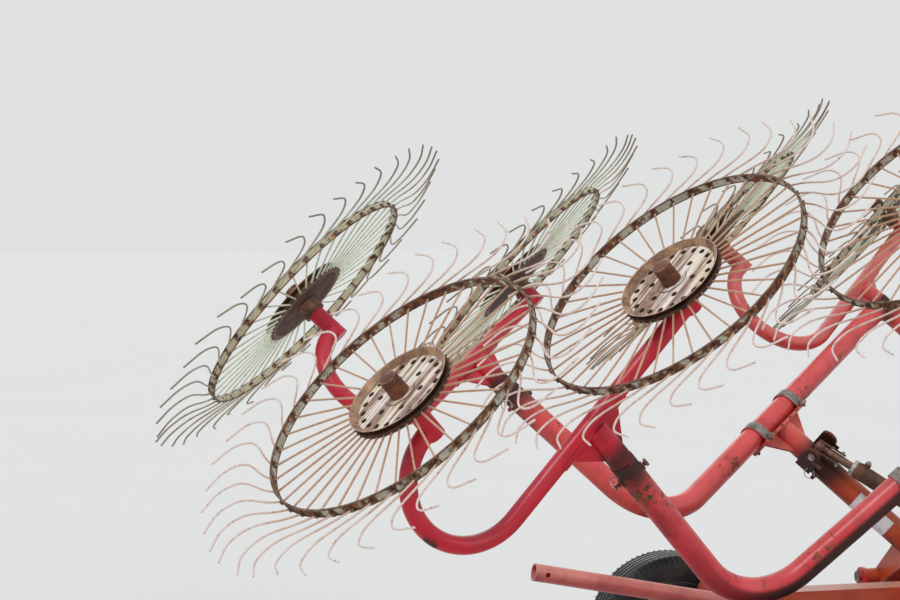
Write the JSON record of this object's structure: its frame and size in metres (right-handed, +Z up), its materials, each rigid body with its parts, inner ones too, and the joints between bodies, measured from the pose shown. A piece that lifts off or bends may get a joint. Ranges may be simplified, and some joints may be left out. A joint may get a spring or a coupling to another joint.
{
  "type": "wheel hay rake",
  "caption": "Towed V-shaped hay rake folded for the road: tined finger wheels on bent rocker tubes, hydraulic fold booms, box tongue, two road wheels.",
  "frame": {"origin": "centre of the drawbar pin bore, midway between the two ears", "axes": "+X forward along the line of travel, +Y to the left, +Z up along the drawbar pin; the ground is 0.450 m below the origin"},
  "size_m": [5.0858, 4.012, 2.7983],
  "materials": {
    "arm_red": "faded gloss red with rust chips",
    "faded_red": "sun-faded pinkish red",
    "frame_orange": "orange-red faded paint with rust",
    "tine_rust": "rusty spring wire and rim, bare",
    "disc_cream": "cream paint with rust runs",
    "rim_cream": "dull pale rim paint",
    "cylinder_rust": "rusted brown",
    "jack_rust": "rusted brown paint",
    "rod_steel": "dull bare steel",
    "tyre_rubber": "black rubber"
  },
  "bodies": {
    "frame": {"backbone": "frame_orange", "hitch_clevis": "faded_red", "axle": "arm_red", "cross_beam": "arm_red", "lift_anchor": "arm_red", "tail_tube": "faded_red", "jack_sleeve": "jack_rust", "jack_leg": "rod_steel"},
    "carrier_right": {"tyre_right": "tyre_rubber", "road_wheel_right": "rim_cream"},
    "boom_right": {"boom_right": "frame_orange"},
    "lift_barrel_right": {"lift_barrel_right": "cylinder_rust"},
    "lift_rod_right": {"lift_rod_right": "rod_steel"},
    "beam_right": {"beam_clamp_right": "faded_red", "beam_right": "arm_red"},
    "rocker_right_rear": {"rocker_right_rear": "arm_red"},
    "rocker_right_front": {"rocker_right_front": "faded_red"},
    "rake_wheel_right_1": {"tined_ring_right_1": "tine_rust", "hub_right_1": "disc_cream"},
    "rake_wheel_right_2": {"tined_ring_right_2": "tine_rust", "hub_right_2": "disc_cream"},
    "rake_wheel_right_3": {"tined_ring_right_3": "tine_rust", "hub_right_3": "disc_cream"},
    "rake_wheel_right_4": {"tined_ring_right_4": "tine_rust", "hub_right_4": "disc_cream"},
    "carrier_left": {"tyre_left": "tyre_rubber", "road_wheel_left": "rim_cream"},
    "boom_left": {"boom_left": "frame_orange"},
    "lift_barrel_left": {"lift_barrel_left": "cylinder_rust"},
    "lift_rod_left": {"lift_rod_left": "rod_steel"},
    "beam_left": {"beam_clamp_left": "faded_red", "beam_left": "arm_red"},
    "rocker_left_rear": {"rocker_left_rear": "arm_red"},
    "rocker_left_front": {"rocker_left_front": "faded_red"},
    "rake_wheel_left_1": {"tined_ring_left_1": "tine_rust", "hub_left_1": "disc_cream"},
    "rake_wheel_left_2": {"tined_ring_left_2": "tine_rust", "hub_left_2": "disc_cream"},
    "rake_wheel_left_3": {"tined_ring_left_3": "tine_rust", "hub_left_3": "disc_cream"},
    "rake_wheel_left_4": {"tined_ring_left_4": "tine_rust", "hub_left_4": "disc_cream"}
  },
  "joints": [
    {"name": "carrier_spin_right", "type": "hinge", "parent": "frame", "child": "carrier_right", "pos_m": [-3, -0.64, -0.135], "axis": [0, 1, 0], "continuous": true},
    {"name": "boom_fold_right", "type": "hinge", "parent": "frame", "child": "boom_right", "pos_m": [-2.03013, -0.71, 0.04], "axis": [-1, 0, 0], "range_deg": [-71.8, 0]},
    {"name": "lift_barrel_swing_right", "type": "hinge", "parent": "frame", "child": "lift_barrel_right", "pos_m": [-1.92, -0.22, 0.23], "axis": [0.8351, 0.55, 0.0044], "range_deg": [0, 75.45]},
    {"name": "lift_rod_slide_right", "type": "slide", "parent": "lift_barrel_right", "child": "lift_rod_right", "axis": [-0.7454, -0.435, 0.5051], "range_m": [0, 0.40535]},
    {"name": "beam_swivel_right", "type": "hinge", "parent": "boom_right", "child": "beam_right", "pos_m": [-2.53, -0.63438, 0.67446], "axis": [-0.6534, -0.2364, 0.7191], "range_deg": [-6.3, 7.7]},
    {"name": "rocker_swivel_right_rear", "type": "hinge", "parent": "beam_right", "child": "rocker_right_rear", "pos_m": [-3.78667, -0.76495, 0.82464], "axis": [-0.6534, -0.2364, 0.7191], "range_deg": [-23.7, 0.3]},
    {"name": "rocker_swivel_right_front", "type": "hinge", "parent": "beam_right", "child": "rocker_right_front", "pos_m": [-1.87334, -0.77333, 1.38396], "axis": [-0.6534, -0.2364, 0.7191], "range_deg": [-5.2, 18.8]},
    {"name": "rake_spin_right_1", "type": "hinge", "parent": "rocker_right_rear", "child": "rake_wheel_right_1", "pos_m": [-4.4613, -0.93516, 0.95666], "axis": [-0.6534, -0.2364, 0.7191], "continuous": true},
    {"name": "rake_spin_right_2", "type": "hinge", "parent": "rocker_right_rear", "child": "rake_wheel_right_2", "pos_m": [-3.516, -0.75884, 1.28534], "axis": [-0.6534, -0.2364, 0.7191], "continuous": true},
    {"name": "rake_spin_right_3", "type": "hinge", "parent": "rocker_right_front", "child": "rake_wheel_right_3", "pos_m": [-2.56149, -0.81522, 1.54589], "axis": [-0.6534, -0.2364, 0.7191], "continuous": true},
    {"name": "rake_spin_right_4", "type": "hinge", "parent": "rocker_right_front", "child": "rake_wheel_right_4", "pos_m": [-1.58587, -0.9267, 1.80751], "axis": [-0.6534, -0.2364, 0.7191], "continuous": true},
    {"name": "carrier_spin_left", "type": "hinge", "parent": "frame", "child": "carrier_left", "pos_m": [-3, 0.64, -0.135], "axis": [0, 1, 0], "continuous": true},
    {"name": "boom_fold_left", "type": "hinge", "parent": "frame", "child": "boom_left", "pos_m": [-2.03013, 0.71, 0.04], "axis": [1, 0, 0], "range_deg": [-60.2, 0]},
    {"name": "lift_barrel_swing_left", "type": "hinge", "parent": "frame", "child": "lift_barrel_left", "pos_m": [-1.92, 0.22, 0.23], "axis": [-0.8351, 0.55, -0.0044], "range_deg": [0, 60.62]},
    {"name": "lift_rod_slide_left", "type": "slide", "parent": "lift_barrel_left", "child": "lift_rod_left", "axis": [-0.6712, 0.5446, 0.503], "range_m": [0, 0.33616]},
    {"name": "beam_swivel_left", "type": "hinge", "parent": "boom_left", "child": "beam_left", "pos_m": [-2.53, 0.7635, 0.67671], "axis": [0.6534, -0.3762, -0.6569], "range_deg": [-0.9, 13.1]},
    {"name": "rocker_swivel_left_rear", "type": "hinge", "parent": "beam_left", "child": "rocker_left_rear", "pos_m": [-3.77292, 0.69634, 0.94024], "axis": [0.6534, -0.3762, -0.6569], "range_deg": [-5.1, 18.9]},
    {"name": "rocker_swivel_left_front", "type": "hinge", "parent": "beam_left", "child": "rocker_left_front", "pos_m": [-1.88931, 1.30396, 1.17802], "axis": [0.6534, -0.3762, -0.6569], "range_deg": [-10.3, 13.7]},
    {"name": "rake_spin_left_1", "type": "hinge", "parent": "rocker_left_rear", "child": "rake_wheel_left_1", "pos_m": [-4.44237, 0.66503, 1.16912], "axis": [-0.6534, 0.3762, 0.6569], "continuous": true},
    {"name": "rake_spin_left_2", "type": "hinge", "parent": "rocker_left_rear", "child": "rake_wheel_left_2", "pos_m": [-3.50869, 1.06209, 1.22652], "axis": [-0.6534, 0.3762, 0.6569], "continuous": true},
    {"name": "rake_spin_left_3", "type": "hinge", "parent": "rocker_left_front", "child": "rake_wheel_left_3", "pos_m": [-2.56722, 1.29998, 1.38284], "axis": [-0.6534, 0.3762, 0.6569], "continuous": true},
    {"name": "rake_spin_left_4", "type": "hinge", "parent": "rocker_left_front", "child": "rake_wheel_left_4", "pos_m": [-1.61456, 1.63576, 1.49421], "axis": [-0.6534, 0.3762, 0.6569], "continuous": true}
  ],
  "couplings": [
    {"joint": "lift_barrel_swing_right", "follows": "boom_fold_right", "ratio": -1.0509},
    {"joint": "lift_rod_slide_right", "follows": "boom_fold_right", "m_per_rad": -0.32346},
    {"joint": "lift_barrel_swing_left", "follows": "boom_fold_left", "ratio": -1.007},
    {"joint": "lift_rod_slide_left", "follows": "boom_fold_left", "m_per_rad": -0.31994}
  ]
}
